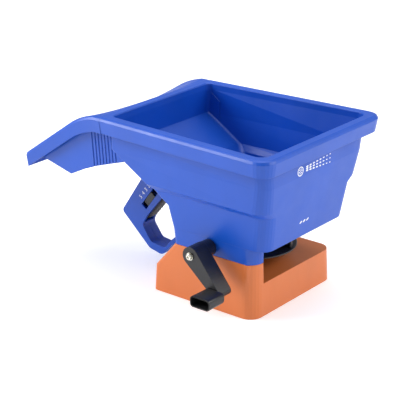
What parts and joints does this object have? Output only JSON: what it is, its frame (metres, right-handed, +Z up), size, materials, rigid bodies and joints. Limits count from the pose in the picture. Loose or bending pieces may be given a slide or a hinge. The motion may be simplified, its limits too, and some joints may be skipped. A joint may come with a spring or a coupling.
{
  "type": "hand-crank garden spreader",
  "caption": "Hand-held garden spreader: open hopper with arm rest, pistol grip with trigger, side crank, bevel gears and a spinner disc over an orange base.",
  "frame": {"origin": "middle of the bounding box's foot, on the floor the base stands on", "axes": "+X forwards to the hopper's front panel, away from the arm rest; -Y the crank's side; +Z up out of the hopper"},
  "size_m": [0.372, 0.261, 0.2057],
  "materials": {
    "blue": "satin moulded polypropylene",
    "orange": "satin moulded polypropylene",
    "black": "satin moulded nylon",
    "grey": "matt moulded plastic",
    "nylon": "natural acetal",
    "zinc": "zinc plated",
    "steel": "bright drawn",
    "felt": "pressed felt"
  },
  "bodies": {
    "frame": {"base_housing": "orange", "base_screw_crank_front": "zinc", "base_screw_crank_rear": "zinc", "base_screw_far_rear": "zinc", "bracket_screw_front": "zinc", "bracket_screw_rear": "zinc", "crank_wall_bush": "black", "disc_lower_bush": "nylon", "disc_upper_bush": "nylon", "gate_rail_crank_side": "black", "gate_rail_far_side": "black", "grip_mount_screw_crank_side": "zinc", "grip_mount_screw_far_side": "zinc", "grip_screw_1": "zinc", "grip_screw_2": "zinc", "grip_screw_3": "zinc", "grip_screw_4": "zinc", "grip_shell_crank_side": "blue", "grip_shell_far_side": "blue", "hopper": "blue", "rail_screw_crank_side_front": "zinc", "rail_screw_crank_side_rear": "zinc", "rail_screw_far_side_front": "zinc", "rail_screw_far_side_rear": "zinc", "shaft_bracket": "black", "shaft_felt_seal": "felt", "trigger_pin": "steel", "trigger_spring": "steel"},
    "crank": {"crank_arm": "black", "crank_washer": "zinc", "crank_screw": "zinc", "crank_shaft": "steel", "drive_bevel_gear": "nylon", "gear_collar": "steel", "knob_pin": "steel"},
    "knob": {"crank_knob": "black"},
    "spinner": {"disc_shaft": "steel", "bevel_pinion": "nylon", "spinner_disc": "black", "agitator": "black", "thrust_washer": "steel", "shaft_clip": "steel"},
    "trigger": {"trigger": "grey"},
    "gate": {"gate_plate": "grey", "gate_pull_rod": "steel"},
    "limiter": {"flow_limiter": "grey", "limiter_pointer": "nylon"}
  },
  "joints": [
    {"name": "crank_turn", "type": "hinge", "parent": "frame", "child": "crank", "pos_m": [0.0845, -0.10175, 0.076], "axis": [0, 1, 0], "continuous": true},
    {"name": "knob_turn", "type": "hinge", "parent": "crank", "child": "knob", "pos_m": [0.12041, -0.11175, 0.03881], "axis": [0, 1, 0], "continuous": true},
    {"name": "spinner_turn", "type": "hinge", "parent": "frame", "child": "spinner", "pos_m": [0.0845, 0.01465, 0.0555], "axis": [0, 0, 1], "continuous": true},
    {"name": "trigger_swing", "type": "hinge", "parent": "frame", "child": "trigger", "pos_m": [-0.0765, 0.01465, 0.0501], "axis": [0, -1, 0], "range_deg": [0, 10.5], "stiffness_Nm_per_rad": 0.6, "springref_deg": -20.05},
    {"name": "gate_slide", "type": "slide", "parent": "frame", "child": "gate", "axis": [-1, 0, 0], "range_m": [0, 0.012]},
    {"name": "limiter_slide", "type": "slide", "parent": "frame", "child": "limiter", "axis": [0.6, 0, 0.8], "range_m": [0, 0.0286]}
  ],
  "couplings": [
    {"joint": "spinner_turn", "follows": "crank_turn", "ratio": -3},
    {"joint": "gate_slide", "follows": "trigger_swing", "m_per_rad": 0.064881}
  ]
}
